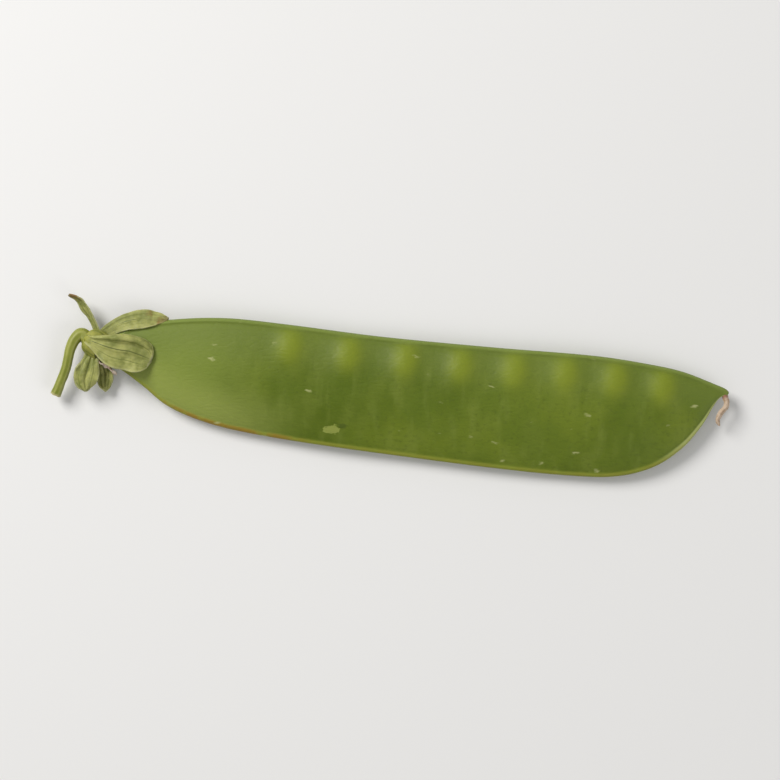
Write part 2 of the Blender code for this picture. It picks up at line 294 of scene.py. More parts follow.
def young_peas_tree():
    """Swells the skin over each pea of a row and presses the underside flat where it rests."""
    tree, given = new_tree(
        "Young peas under the skin",
        {
            "Pea line": ("Object", None),
            "Pea count": ("Int", 8),
            "Crowding": ("Float", 0.1),
            "Pea length": ("Float", 0.003),
            "Pea height": ("Float", 0.004),
            "Pea rise": ("Float", 0.001),
            "Dimple size": ("Float", 0.02),
            "Dimple depth": ("Float", 0.0001),
            "Rest height": ("Float", 0.0),
            "Material": ("Material", None),
        },
    )
    mark = {
        name: node(tree, "GeometryNodeInputNamedAttribute", {"Name": name}, data_type="FLOAT")
        for name in ("flat_x", "flat_y", "from_seed_seam", "from_keel")
    }

    # Each pea's share of the row, with the peas a little closer together towards the tip
    line = node(tree, "GeometryNodeObjectInfo", {"Object": given["Pea line"]})
    peas = node(tree, "GeometryNodePoints", {"Count": given["Pea count"]})
    last = node(tree, "ShaderNodeMath", {0: given["Pea count"], 1: 1}, operation="SUBTRACT")
    index = node(tree, "GeometryNodeInputIndex")
    share = node(tree, "ShaderNodeMath", {0: index, 1: last}, operation="DIVIDE")
    left = node(tree, "ShaderNodeMath", {0: 1, 1: share}, operation="SUBTRACT")
    middle = node(tree, "ShaderNodeMath", {0: share, 1: left}, operation="MULTIPLY")
    crowded = node(
        tree, "ShaderNodeMath", {0: middle, 1: given["Crowding"], 2: share}, operation="MULTIPLY_ADD"
    )
    place = node(
        tree, "GeometryNodeSampleCurve", {"Curves": line.outputs["Geometry"], "Factor": crowded}
    )

    # How near the skin is to a pea, counted in the pea's own length and height
    pea_size = node(
        tree, "ShaderNodeCombineXYZ", {"X": given["Pea length"], "Y": given["Pea height"], "Z": 1.0}
    )
    flat = node(tree, "ShaderNodeCombineXYZ", {"X": mark["flat_x"], "Y": mark["flat_y"]})
    skin_place = node(tree, "ShaderNodeVectorMath", {0: flat, 1: pea_size}, operation="DIVIDE")
    pea_place = node(
        tree, "ShaderNodeVectorMath", {0: place.outputs["Position"], 1: pea_size}, operation="DIVIDE"
    )
    row = node(tree, "GeometryNodeSetPosition", {"Geometry": peas, "Position": pea_place})
    near = node(
        tree, "GeometryNodeProximity", {"Geometry": row, "Sample Position": skin_place},
        target_element="POINTS",
    )
    squared = node(tree, "ShaderNodeMath", {0: near.outputs["Distance"], 1: 2}, operation="POWER")
    negative = node(tree, "ShaderNodeMath", {0: squared, 1: -1}, operation="MULTIPLY")
    swell = node(tree, "ShaderNodeMath", {0: negative}, operation="EXPONENT")
    marked = node(
        tree, "GeometryNodeStoreNamedAttribute",
        {"Geometry": given["Geometry"], "Name": "pea", "Value": swell},
    )

    # The seams stay as they are, and the faces get the peas and some shallow dimples
    edge = node(
        tree, "ShaderNodeMath", {0: mark["from_seed_seam"], 1: mark["from_keel"]}, operation="MINIMUM"
    )
    inside = node(
        tree, "ShaderNodeMapRange", {"Value": edge, "From Max": 1.8 * MM},
        interpolation_type="SMOOTHSTEP",
    )
    dimples = uneven(tree, given["Dimple size"], given["Dimple depth"])
    rise = node(
        tree, "ShaderNodeMath", {0: swell, 1: given["Pea rise"], 2: dimples}, operation="MULTIPLY_ADD"
    )
    lift = node(tree, "ShaderNodeMath", {0: rise, 1: inside}, operation="MULTIPLY")
    swollen = lifted(tree, marked, lift)

    # What would sink below the rest height is pressed flat
    where = node(tree, "ShaderNodeSeparateXYZ", {0: node(tree, "GeometryNodeInputPosition")})
    rest = node(
        tree, "ShaderNodeMath", {0: where.outputs["Z"], 1: given["Rest height"]}, operation="MAXIMUM"
    )
    pressed = node(
        tree, "ShaderNodeCombineXYZ", {"X": where.outputs["X"], "Y": where.outputs["Y"], "Z": rest}
    )
    laid = node(tree, "GeometryNodeSetPosition", {"Geometry": swollen, "Position": pressed})
    finish_tree(tree, laid, given["Material"])
    return tree


def colour(hex_value):
    """An sRGB hex value as linear light."""
    parts = [int(hex_value[i : i + 2], 16) / 255 for i in (1, 3, 5)]
    return (*[c / 12.92 if c <= 0.04045 else ((c + 0.055) / 1.055) ** 2.4 for c in parts], 1)


def new_material(name, settings):
    """A material, its tree and its shader, whose own sockets start from the settings."""
    made = bpy.data.materials.new(name)
    made.use_nodes = True
    shader = made.node_tree.nodes["Principled BSDF"]
    for socket, value in settings.items():
        shader.inputs[socket].default_value = value
    return made, made.node_tree, shader


def paint(tree, base, layers):
    """Colours laid over a base. A layer is a colour, how strong it is, and one or more ranges as
    (value, from, to): it comes in softly as each value goes from the first to the second."""
    tint = colour(base)
    for hex_value, strength, *ranges in layers:
        cover = strength
        for value, low, high in ranges:
            eased = node(
                tree, "ShaderNodeMapRange", {"Value": value, "From Min": low, "From Max": high},
                interpolation_type="SMOOTHSTEP",
            )
            cover = node(tree, "ShaderNodeMath", {0: eased, 1: cover}, operation="MULTIPLY")
        mixed = node(
            tree, "ShaderNodeMix", {0: cover, 6: tint, 7: colour(hex_value)}, data_type="RGBA"
        )
        tint = mixed.outputs[2]
    return tint


def spots(tree, size, stretch=(1, 1, 1), detail=3.0, offset=(0, 0, 0)):
    """Soft blotches about size across, on the object's own coordinates."""
    own = node(tree, "ShaderNodeTexCoord").outputs["Object"]
    placed = node(tree, "ShaderNodeMapping", {"Vector": own, "Scale": stretch, "Location": offset})
    noise = node(tree, "ShaderNodeTexNoise", {"Vector": placed, "Scale": 1 / size, "Detail": detail})
    return noise.outputs["Fac"]


def pod_skin_material():
    """Fresh pea-pod skin: cutin wax over chlorophyll-green flesh. The wax gives a broad soft
    shine and a faint grey bloom, and the flesh under it glows a little. The skin is yellower
    over each pea, cooler by the seed seam and rusty along the keel. Its neck's end is painted
    paler, most along the keel: painted sheen from the key light."""
    made, tree, shader = new_material(
        "waxy_pea_pod_skin",
        {
            "IOR": 1.45,
            "Specular IOR Level": 0.35,
            "Subsurface Weight": 0.2,
            "Subsurface Radius": (0.8, 1.0, 0.3),
            "Subsurface Scale": 1.0 * MM,
            "Sheen Weight": 0.03,
            "Sheen Roughness": 0.4,
        },
    )
    own = node(tree, "ShaderNodeTexCoord").outputs["Object"]
    along, from_seed, from_keel, pea = (
        node(tree, "ShaderNodeAttribute", attribute_name=name).outputs["Fac"]
        for name in ("along", "from_seed_seam", "from_keel", "pea")
    )
    broad = spots(tree, 20 * MM, stretch=(1, 0.7, 1))
    patches = spots(tree, 9 * MM, offset=(0.45, 0.2, 0))
    fine = spots(tree, 4 * MM, stretch=(1, 0.5, 1), offset=(0.3, 0.1, 0))
    streaks = spots(tree, 2.2 * MM, stretch=(1, 0.22, 1), offset=(0.9, 0, 0.2))
    speckle = spots(tree, 0.8 * MM, offset=(0, 0.6, 0))

    # Rust is strongest on one stretch of the keel, about 8 to 46 mm past the pod's neck
    where = node(tree, "ShaderNodeSeparateXYZ", {"Vector": own}).outputs["X"]
    rusty = 1.0
    for start, end in ((-50 * MM, -40 * MM), (-12 * MM, -26 * MM)):
        eased = node(
            tree, "ShaderNodeMapRange", {"Value": where, "From Min": start, "From Max": end},
            interpolation_type="SMOOTHSTEP",
        )
        rusty = node(tree, "ShaderNodeMath", {0: eased, 1: rusty}, operation="MULTIPLY")
    rust_strength = node(
        tree, "ShaderNodeMapRange", {"Value": rusty, "To Min": 0.12, "To Max": 0.8},
        interpolation_type="SMOOTHSTEP",
    )
    rust = spots(tree, 3 * MM, offset=(0.7, 0, 0))

    # Healed flecks: ragged spots about 3 mm apart, drawn out along the pod, on some patches
    fleck_turn = -0.7
    fleck_stretch = Vector((0.5, 1, 1))
    raggedness = 1.2 * MM
    turned = node(
        tree, "ShaderNodeMapping",
        {"Vector": own, "Rotation": (0, 0, fleck_turn), "Scale": fleck_stretch},
    )
    noise = node(tree, "ShaderNodeTexNoise", {"Vector": turned, "Scale": 1 / (0.7 * MM), "Detail": 2.0})
    shaken = node(
        tree, "ShaderNodeVectorMath",
        {0: noise.outputs["Color"], 1: (raggedness,) * 3, 2: turned}, operation="MULTIPLY_ADD",
    )
    flecks = node(tree, "ShaderNodeTexVoronoi", {"Vector": shaken, "Scale": 1 / (3.3 * MM)})
    flecked = spots(tree, 9 * MM, offset=(0.1, 0.4, 0))

    # One larger scar near the keel, with a dark spot beside it
    scar_place = Vector((-11.0 * MM, -8.8 * MM, 4.0 * MM))
    scar_size = (0.9 * MM, 0.9 * MM, 10 * MM)
    dark_spot_place = (1.5, 0.1, 0.0)  # in the scar's own sizes
    scar_middle = Matrix.Rotation(fleck_turn, 3, "Z") @ (scar_place * fleck_stretch)
    scar_middle += Vector((raggedness / 2,) * 3)
    from_middle = node(
        tree, "ShaderNodeVectorMath", {0: shaken, 1: scar_middle}, operation="SUBTRACT"
    )
    in_scar = node(tree, "ShaderNodeVectorMath", {0: from_middle, 1: scar_size}, operation="DIVIDE")
    round_scar = node(tree, "ShaderNodeVectorMath", {0: in_scar}, operation="LENGTH")
    ragged = node(
        tree, "ShaderNodeMath",
        {0: spots(tree, 0.8 * MM, offset=(0.5, 0.5, 0)), 1: 0.5}, operation="SUBTRACT",
    )
    scar = node(
        tree, "ShaderNodeMath", {0: ragged, 1: 1.3, 2: round_scar.outputs["Value"]},
        operation="MULTIPLY_ADD",
    )
    dark_spot = node(tree, "ShaderNodeVectorMath", {0: in_scar, 1: dark_spot_place}, operation="DISTANCE")

    green = paint(tree, "#516200", [
        ("#647310", 1.0, (broad, 0.38, 0.62)),
        ("#76822E", 0.35, (fine, 0.4, 0.75)),
        ("#546606", 0.55, (patches, 0.42, 0.62)),
        ("#7F8A3A", 0.28, (streaks, 0.5, 0.8)),
        ("#4C5A08", 0.5, (speckle, 0.5, 0.8)),
        # Painted sheen: the neck's end is painted paler, most along the keel, where the key light's
        # soft shine falls
        ("#7F8D38", 0.75, (along, 0.30, 0.12)),
        ("#98A150", 0.5, (along, 0.36, 0.18), (from_keel, 10.5 * MM, 3.0 * MM)),
        ("#68762C", 0.6, (from_seed, 10.5 * MM, 2.5 * MM)),
        ("#838E1A", 0.62, (pea, 0.05, 0.95)),
        ("#7C8A40", 0.6, (from_seed, 1.2 * MM, 0.2 * MM)),
        ("#566A20", 0.7, (from_seed, 0.22 * MM, 0.08 * MM)),
        ("#868C2C", 0.85, (from_keel, 1.1 * MM, 0.4 * MM)),
        ("#A0A862", 1.0, (along, 0.86, 0.95), (from_keel, 1.4 * MM, 0.9 * MM)),
        ("#8C6A1A", rust_strength, (rust, 0.32, 0.55), (from_keel, 1.2 * MM, 0.5 * MM)),
        ("#AEAF74", 0.8, (flecks.outputs["Distance"], 0.14, 0.03), (flecked, 0.40, 0.55)),
        ("#9BA24E", 0.65, (scar, 1.0, 0.8)),
        ("#3C4A08", 0.6, (dark_spot.outputs["Value"], 0.7, 0.2)),
    ])
    tree.links.new(green, shader.inputs["Base Color"])

    # The wall's net of veins is about 1 mm wide. The pores are really finer than 0.05 mm, and
    # are drawn at 0.35 mm, as coarse as they have to be to catch the light
    veins_turned = node(
        tree, "ShaderNodeMapping", {"Vector": own, "Rotation": (0, 0, 0.9), "Scale": (0.45, 1, 1)}
    )
    veins = node(
        tree, "ShaderNodeTexVoronoi", {"Vector": veins_turned, "Scale": 1 / (1.1 * MM)},
        feature="DISTANCE_TO_EDGE",
    )
    net = node(
        tree, "ShaderNodeMapRange", {"Value": veins.outputs["Distance"], "From Max": 0.25},
        interpolation_type="SMOOTHSTEP",
    )
    pores = spots(tree, 0.35 * MM, detail=2.0)
    height = node(tree, "ShaderNodeMath", {0: net, 1: 0.7, 2: pores}, operation="MULTIPLY_ADD")
    bump = node(tree, "ShaderNodeBump", {"Height": height, "Strength": 0.45, "Distance": 0.07 * MM})
    tree.links.new(bump.outputs[0], shader.inputs["Normal"])
    gloss = node(
        tree, "ShaderNodeMapRange",
        {"Value": broad, "From Min": 0.3, "From Max": 0.7, "To Min": 0.48, "To Max": 0.58},
        interpolation_type="SMOOTHSTEP",
    )
    tree.links.new(gloss.outputs[0], shader.inputs["Roughness"])
    return made


rings, pea_line, pod_attributes = pod_shape()
neck, pod_move = neck_place(rings)
pod = loft("pod_case", rings + np.array(pod_move), pod_attributes)

row_points = [p for p in pea_line if FIRST_PEA <= p[0] / POD_LENGTH <= LAST_PEA]
row_curve = bpy.data.curves.new("pea_row", "CURVE")
row_curve.dimensions = "3D"
row_spline = row_curve.splines.new("POLY")
row_spline.points.add(len(row_points) - 1)
for guide_point, (x, y) in zip(row_spline.points, row_points):
    guide_point.co = (x, y, 0, 1)
pea_row = bpy.data.objects.new("pea_row", row_curve)
bpy.context.scene.collection.objects.link(pea_row)

pod = grown(
    pod, young_peas_tree(), Pea_line=pea_row, Pea_count=8, Crowding=0.12, Pea_length=2.9 * MM,
    Pea_height=3.9 * MM, Pea_rise=0.75 * MM, Dimple_size=16 * MM, Dimple_depth=0.25 * MM,
    Rest_height=0.0, Material=pod_skin_material(),
)
bpy.data.objects.remove(pea_row)
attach(pod, "root")
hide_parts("pod")

# ---------------------------------------------------------------- the calyx cup
# The five sepals grow together into a short ribbed bell that holds the pod's neck. It is
# thin, dry-looking leaf tissue, and it leans towards the seed seam.

CALYX_LEAN = math.radians(27)
MOUTH_SETBACK = 0.8 * MM
CUP_LENGTH = 3.8 * MM
CUP_MOUTH = 2.95 * MM
CUP_BASE = 1.15 * MM
CUP_WALL = 0.4 * MM
CUP_SIDES = 120
CUP_PROFILE = (
    (0.0, CUP_BASE), (0.10, 0.66 * CUP_MOUTH), (0.25, 0.86 * CUP_MOUTH), (0.5, 0.97 * CUP_MOUTH),
    (1.0, CUP_MOUTH),
)
calyx_axis = Vector((math.cos(CALYX_LEAN), -math.sin(CALYX_LEAN), 0))
mouth = neck - calyx_axis * MOUTH_SETBACK


def veined_leaf_tree():
    """Raises thin veins along a leafy surface and wrinkles it."""
    tree, given = new_tree(
        "Veins along a leaf",
        {
            "Vein count": ("Float", 9.0),
            "Vein height": ("Float", 0.0001),
            "Wrinkle size": ("Float", 0.002),
            "Wrinkle depth": ("Float", 0.0002),
            "Material": ("Material", None),
        },
    )
    across = node(
        tree, "GeometryNodeInputNamedAttribute", {"Name": "across"}, data_type="FLOAT"
    )
    turns = node(
        tree, "ShaderNodeMath", {0: given["Vein count"], 1: math.pi}, operation="MULTIPLY"
    )
    angle = node(tree, "ShaderNodeMath", {0: across, 1: turns}, operation="MULTIPLY")
    wave = node(tree, "ShaderNodeMath", {0: angle}, operation="COSINE")
    folded = node(tree, "ShaderNodeMath", {0: wave}, operation="ABSOLUTE")
    vein = node(tree, "ShaderNodeMath", {0: folded, 1: 14}, operation="POWER")
    marked = node(
        tree, "GeometryNodeStoreNamedAttribute",
        {"Geometry": given["Geometry"], "Name": "vein", "Value": vein},
    )
    wrinkles = uneven(tree, given["Wrinkle size"], given["Wrinkle depth"])
    lift = node(
        tree, "ShaderNodeMath", {0: vein, 1: given["Vein height"], 2: wrinkles},
        operation="MULTIPLY_ADD",
    )
    finish_tree(tree, lifted(tree, marked, lift), given["Material"])
    return tree


def leaf_material(name, pale, deep, dry):
    """Wilting sepal tissue: thin, matt and a little see-through. The flesh between the veins
    is paler than the veins, the margin is yellowish, and the tip has dried to brown. The dark
    line along the midrib is painted shade in its crease."""
    made, tree, shader = new_material(
        name,
        {
            "Roughness": 0.6,
            "IOR": 1.45,
            "Subsurface Weight": 0.3,
            "Subsurface Radius": (0.9, 1.0, 0.4),
            "Subsurface Scale": 0.5 * MM,
        },
    )
    vein, across, margin, dryness = (
        node(tree, "ShaderNodeAttribute", attribute_name=attribute).outputs["Fac"]
        for attribute in ("vein", "across", "margin", "dryness")
    )
    blotch = spots(tree, 2.5 * MM)
    streak = spots(tree, 0.9 * MM, offset=(0.2, 0.5, 0))
    midrib = node(tree, "ShaderNodeMath", {0: across}, operation="ABSOLUTE")
    dried = node(tree, "ShaderNodeMath", {0: dryness, 1: blotch}, operation="ADD")
    tint = paint(tree, pale, [
        (deep, 0.7, (blotch, 0.35, 0.65)),
        (pale, 0.5, (streak, 0.45, 0.75)),
        (deep, 0.75, (vein, 0.2, 0.9)),
        # painted shade: a dark line along the midrib, where its crease lies in shadow
        ("#4E5520", 0.75, (midrib, 0.018, 0.006)),
        ("#B4B27C", 0.6, (margin, 0.88, 0.98)),
        (dry, 1.0, (dried, 1.30, 1.55)),
    ])
    tree.links.new(tint, shader.inputs["Base Color"])

    # A leaf's cells are about 0.05 mm across; they are drawn at 0.3 mm so that they show
    cells = spots(tree, 0.3 * MM, detail=2.0)
    bump = node(tree, "ShaderNodeBump", {"Height": cells, "Strength": 0.4, "Distance": 0.08 * MM})
    tree.links.new(bump.outputs[0], shader.inputs["Normal"])
    return made


def calyx_cup():
    """The bell's outside, lip and inside as one closed skin."""
    outside = [(between(CUP_PROFILE, u), u) for u in np.linspace(0, 1, 26)]
    inside = [(radius - CUP_WALL, max(u, 0.2)) for radius, u in outside[::-1] if radius > 1.6 * MM]
    profile = [(0.25 * MM, 0.0), (0.7 * MM, 0.0), *outside]
    profile += [(CUP_MOUTH - CUP_WALL / 2, 1.04), *inside, (0.7 * MM, 0.18), (0.25 * MM, 0.18)]
    radius, height = np.array(profile).T[:, :, None]
    turn = 2 * np.pi * np.arange(CUP_SIDES)[None] / CUP_SIDES

    # The lip rises a little towards each of the five sepals, and the bell is not quite round
    lobes = 0.35 * MM * np.cos(5 * (turn - 0.3)) * np.clip(height - 0.6, 0, 1)
    radius = radius * (1 + 0.05 * np.cos(turn - 1.2) * np.sin(np.pi * height))
    side = Vector((0, 0, 1)).cross(calyx_axis)
    rings = (
        np.array(mouth - calyx_axis * CUP_LENGTH)
        + np.array(calyx_axis) * (height * CUP_LENGTH + lobes)[..., None]
        + (radius * np.cos(turn))[..., None] * np.array(side)
        + (radius * np.sin(turn))[..., None] * np.array((0, 0, 1.0))
    )
    attributes = {"across": turn / (2 * np.pi), "margin": 0.0, "dryness": 0.8 * hill(height, 0.3)}
    return loft("calyx_bell", rings, attributes)


veined_leaf = veined_leaf_tree()
cup = grown(
    calyx_cup(), veined_leaf, Vein_count=10.0, Vein_height=-0.16 * MM, Wrinkle_size=1.6 * MM,
    Wrinkle_depth=0.3 * MM,
    Material=leaf_material("calyx_leaf_tissue", "#94933F", "#666D1E", "#8A6A2C"),
)
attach(cup, "root")
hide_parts("calyx_cup")

# ---------------------------------------------------------------- the sepals
# Five leafy lobes that rise from the cup's rim. They are soft and wilting: one is pressed on
# the pod's face, one runs along the seed seam, one is bent back, and two hang below.

LEAFY_WIDTHS = (  # shares of the blade's length and of its full width
    (0.0, 0.46), (0.25, 0.72), (0.55, 0.98), (0.72, 0.95), (0.88, 0.60), (0.96, 0.26), (1.0, 0.03),
)
SPOON_WIDTHS = (
    (0.0, 0.22), (0.12, 0.36), (0.26, 0.66), (0.42, 0.93), (0.62, 1.0), (0.79, 0.98), (0.90, 0.82),
    (0.97, 0.50), (1.0, 0.08),
)
NARROW_WIDTHS = ((0.0, 0.8), (0.3, 0.9), (0.6, 1.0), (0.8, 0.7), (0.92, 0.4), (1.0, 0.1))
SEPAL_THICKNESS = 0.34 * MM
BLADE_ROWS = 73
BLADE_COLUMNS = 41


def around_neck(*steps):
    """Points given in millimetres from the middle of the pod's neck."""
    return [neck + Vector(step) * MM for step in steps]


def leaf_blade(
    name, spine, side_at_base, side_at_tip, width, hollow, widths, frill, fold, rolled=0.0, dry=0.8
):
    """An open blade along a spine: hollow across, folded at its midrib, frilled at its edges and
    rolled up along one of them."""
    points = smooth_path(spine, BLADE_ROWS)
    t = np.linspace(0, 1, BLADE_ROWS)[:, None]
    across = np.linspace(-1, 1, BLADE_COLUMNS)[None]
    ahead = np.gradient(points, axis=0)
    ahead /= np.linalg.norm(ahead, axis=1)[:, None]
    side = (1 - t) * side_at_base + t * side_at_tip
    side -= ahead * (side * ahead).sum(axis=1)[:, None]
    side /= np.linalg.norm(side, axis=1)[:, None]
    normal = np.cross(side, ahead)
    half = between(widths, t) * width / 2

    # The edges ripple, the midrib is folded in, and one edge rolls up over a shallow valley
    ripple = frill * np.abs(across) ** 3 * np.sin(2 * np.pi * (2.3 * t + 0.2 * np.sign(across)))
    crease = fold * hill(across, 0.16) * np.sin(np.pi * t)
    middle_part = np.sin(np.pi * t) ** 0.7
    curl = rolled * np.clip((across - 0.66) / 0.34, 0, 1) ** 1.3 * middle_part
    valley = 0.45 * rolled * hill(across - 0.6, 0.15) * middle_part
    lift = hollow * half * across**2 + ripple - crease + curl - valley
    reach = half * across - 0.6 * curl

    grid = points[:, None] + side[:, None] * reach[..., None] + normal[:, None] * lift[..., None]
    index = np.arange(BLADE_ROWS * BLADE_COLUMNS).reshape(BLADE_ROWS, BLADE_COLUMNS)
    faces = np.stack([index[:-1, :-1], index[:-1, 1:], index[1:, 1:], index[1:, :-1]], axis=-1)
    attributes = {
        "across": across / 2,
        "margin": np.maximum(np.abs(across), t**3),
        "dryness": dry * t,
    }
    return smooth_mesh(name, grid, faces.reshape(-1, 4).tolist(), attributes)


def sepal(name, replaced, spine, width, frill, fold, rolled, **shape):
    """One sepal, grown from its blade and given its thickness; its sizes are in millimetres."""
    flat = leaf_blade(
        name, around_neck(*spine), width=width * MM, frill=frill * MM, fold=fold * MM,
        rolled=rolled * MM, **shape,
    )
    made = grown(
        flat, veined_leaf, Vein_count=12.0, Vein_height=0.07 * MM, Wrinkle_size=2.0 * MM,
        Wrinkle_depth=0.6 * MM, Material=sepal_finish,
    )
    thicken = made.modifiers.new("blade", "SOLIDIFY")
    thicken.thickness = SEPAL_THICKNESS
    thicken.offset = 0
    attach(made, "root")
    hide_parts(replaced)


sepal_finish = leaf_material("wilting_sepal_tissue", "#A3A35C", "#636C24", "#84602F")
sepal(
    "sepal_pressed_on_face", "sepal_over_pod",
    spine=[
        (-3.4, 1.7, 2.1), (-2.0, 1.25, 2.95), (0.2, 0.6, 3.2), (2.6, 0.1, 3.1), (5.7, -0.2, 2.75),
        (9.8, -1.5, 2.3),
    ],
    side_at_base=(0.35, 0.94, 0.1), side_at_tip=(0.3, 0.95, 0.05), width=7.8, hollow=-0.16,
    widths=SPOON_WIDTHS, frill=0.3, fold=0.45, rolled=1.5, dry=0.5,
)
sepal(
    "sepal_beside_seam", "sepal_along_seam",
    spine=[(-1.4, 2.4, -0.2), (3.0, 5.25, 0.55), (7.0, 6.5, 0.75), (12.4, 7.05, 0.4)],
    side_at_base=(-0.4, 0.9, -0.2), side_at_tip=(-0.3, 0.9, -0.35), width=4.0, hollow=-0.08,
    widths=LEAFY_WIDTHS, frill=0.14, fold=0.2, rolled=0.2, dry=1.0,
)
sepal(
    "sepal_curled_back", "sepal_bent_back",
    spine=[
        (-0.9, 2.2, -0.4), (-2.9, 5.8, -0.7), (-4.3, 7.7, -0.4), (-5.8, 9.5, 0.1), (-7.9, 10.3, 0.7),
    ],
    side_at_base=(0.5, 0.3, 0.8), side_at_tip=(0.35, 0.8, 0.5), width=1.9, hollow=0.3,
    widths=NARROW_WIDTHS, frill=0.1, fold=0.15, rolled=0.1, dry=1.0,
)
sepal(
    "sepal_hanging_by_stem", "sepal_under_stem",
    spine=[(-2.3, -0.8, 0.6), (-2.9, -4.0, 1.2), (-3.4, -6.4, 0.9), (-3.2, -8.8, 0.0)],
    side_at_base=(-0.9, 0.3, -0.2), side_at_tip=(-0.95, 0.2, 0.1), width=5.2, hollow=-0.2,
    widths=LEAFY_WIDTHS, frill=0.35, fold=0.6, rolled=0.4, dry=0.75,
)
sepal(
    "sepal_hanging_by_keel", "sepal_under_pod",
    spine=[(-1.3, -1.0, -1.0), (0.2, -4.9, -1.6), (0.4, -7.0, -1.6), (0.7, -8.6, -1.3)],
    side_at_base=(-0.9, -0.1, -0.1), side_at_tip=(-0.95, -0.1, 0.1), width=3.3, hollow=0.14,
    widths=LEAFY_WIDTHS, frill=0.2, fold=0.3, rolled=0.3, dry=0.7,
)

# ---------------------------------------------------------------- the stem
# The pod's own stalk leaves the cup's base, hooks over and runs down to where it was snapped
# off. It is a solid green rod with soft ridges, swollen where it joins the cup.

STEM_RADIUS = 0.95 * MM
STEM_RADII = ((0.0, 1.5), (0.15, 1.3), (0.3, 1.12), (0.55, 0.98), (0.9, 1.0), (1.0, 1.12))


def ridged_rod_tree():
    """A rod along a curve, with lengthwise ridges and a lumpy skin."""
    tree, given = new_tree(
        "Ridged rod",
        {
            "Radius": ("Float", 0.001),
            "Ridge count": ("Float", 6.0),
            "Ridge height": ("Float", 0.00005),
            "Lump size": ("Float", 0.002),
            "Lump height": ("Float", 0.0001),
            "Material": ("Material", None),
        },
    )
    ring = node(
        tree, "GeometryNodeCurvePrimitiveCircle", {"Resolution": 40, "Radius": given["Radius"]}
    )
    share = node(tree, "GeometryNodeSplineParameter").outputs["Factor"]
    ring = node(
        tree, "GeometryNodeStoreNamedAttribute",
        {"Geometry": ring.outputs["Curve"], "Name": "across", "Value": share},
    )
    path = node(
        tree, "GeometryNodeStoreNamedAttribute",
        {"Geometry": given["Geometry"], "Name": "dryness", "Value": share},
    )
    thickness = node(tree, "GeometryNodeInputRadius")
    rod = node(
        tree, "GeometryNodeCurveToMesh",
        {"Curve": path, "Profile Curve": ring, "Scale": thickness, "Fill Caps": True},
    )
    rod = node(tree, "GeometryNodeMergeByDistance", {"Geometry": rod, "Distance": 1e-6})
    rod = node(tree, "GeometryNodeSetShadeSmooth", {"Geometry": rod})
    across = node(
        tree, "GeometryNodeInputNamedAttribute", {"Name": "across"}, data_type="FLOAT"
    )
    turns = node(
        tree, "ShaderNodeMath", {0: given["Ridge count"], 1: 2 * math.pi}, operation="MULTIPLY"
    )
    angle = node(tree, "ShaderNodeMath", {0: across, 1: turns}, operation="MULTIPLY")
    ridge = node(tree, "ShaderNodeMath", {0: angle}, operation="COSINE")
    rod = node(
        tree, "GeometryNodeStoreNamedAttribute", {"Geometry": rod, "Name": "vein", "Value": ridge}
    )
    lumps = uneven(tree, given["Lump size"], given["Lump height"])
    lift = node(
        tree, "ShaderNodeMath", {0: ridge, 1: given["Ridge height"], 2: lumps},
        operation="MULTIPLY_ADD",
    )
    finish_tree(tree, lifted(tree, rod, lift), given["Material"])
    return tree


def rod_path(name, points, radii, count):
    """A curve through the points, whose radius at each is a share of the rod's."""
    curve = bpy.data.curves.new(name, "CURVE")
    curve.dimensions = "3D"
    spline = curve.splines.new("POLY")
    spline.points.add(count - 1)
    for i, place in enumerate(smooth_path(points, count)):
        spline.points[i].co = (*place, 1)
        spline.points[i].radius = float(between(radii, i / (count - 1)))
    made = bpy.data.objects.new(name, curve)
    bpy.context.scene.collection.objects.link(made)
    return made


def stem_material():
    """Fresh green stalk: smooth, slightly waxy skin over pale wet pith, which shows at the
    snapped end. Its ridges are paler than its furrows."""
    made, tree, shader = new_material(
        "fresh_green_stalk",
        {
            "Roughness": 0.45,
            "IOR": 1.45,
            "Subsurface Weight": 0.25,
            "Subsurface Radius": (0.9, 1.0, 0.4),
            "Subsurface Scale": 0.8 * MM,
        },
    )
    ridge, share = (
        node(tree, "ShaderNodeAttribute", attribute_name=name).outputs["Fac"]
        for name in ("vein", "dryness")
    )
    tint = paint(tree, "#767D22", [
        ("#8A8E38", 1.0, (spots(tree, 3 * MM), 0.35, 0.65)),
        ("#A0A052", 0.5, (ridge, -0.6, 0.9)),
        ("#A49C68", 1.0, (share, 0.965, 0.985)),
    ])
    tree.links.new(tint, shader.inputs["Base Color"])

    # The skin's cells are finer than 0.1 mm and are drawn at 0.3 mm so that they show
    cells = spots(tree, 0.3 * MM, detail=2.0)
    bump = node(tree, "ShaderNodeBump", {"Height": cells, "Strength": 0.3, "Distance": 0.06 * MM})
    tree.links.new(bump.outputs[0], shader.inputs["Normal"])
    return made


ridged_rod = ridged_rod_tree()
stem_path = [mouth - calyx_axis * (CUP_LENGTH + step * MM) for step in (-0.5, 0.9)]
stem_path += around_neck(
    (-6.1, 1.4, 0.3), (-6.8, -0.6, 0.4), (-7.1, -2.5, 0.3), (-7.4, -4.3, 0.0),
    (-8.3, -7.2, -0.5), (-9.3, -10.0, -1.0),
)
stem = grown(
    rod_path("stalk", stem_path, STEM_RADII, 90), ridged_rod, Radius=STEM_RADIUS, Ridge_count=6.0,
    Ridge_height=0.05 * MM, Lump_size=2.5 * MM, Lump_height=0.25 * MM, Material=stem_material(),
)
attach(stem, "root")
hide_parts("stem")

# ---------------------------------------------------------------- the dried style
# What is left of the flower's style at the tip: a thin, withered, pinkish-tan thread that
# curls back along the pod's blunt end.

STYLE_RADIUS = 0.48 * MM
STYLE_RADII = ((0.0, 1.3), (0.15, 1.1), (0.5, 1.1), (0.85, 0.8), (0.96, 0.5), (1.0, 0.15))


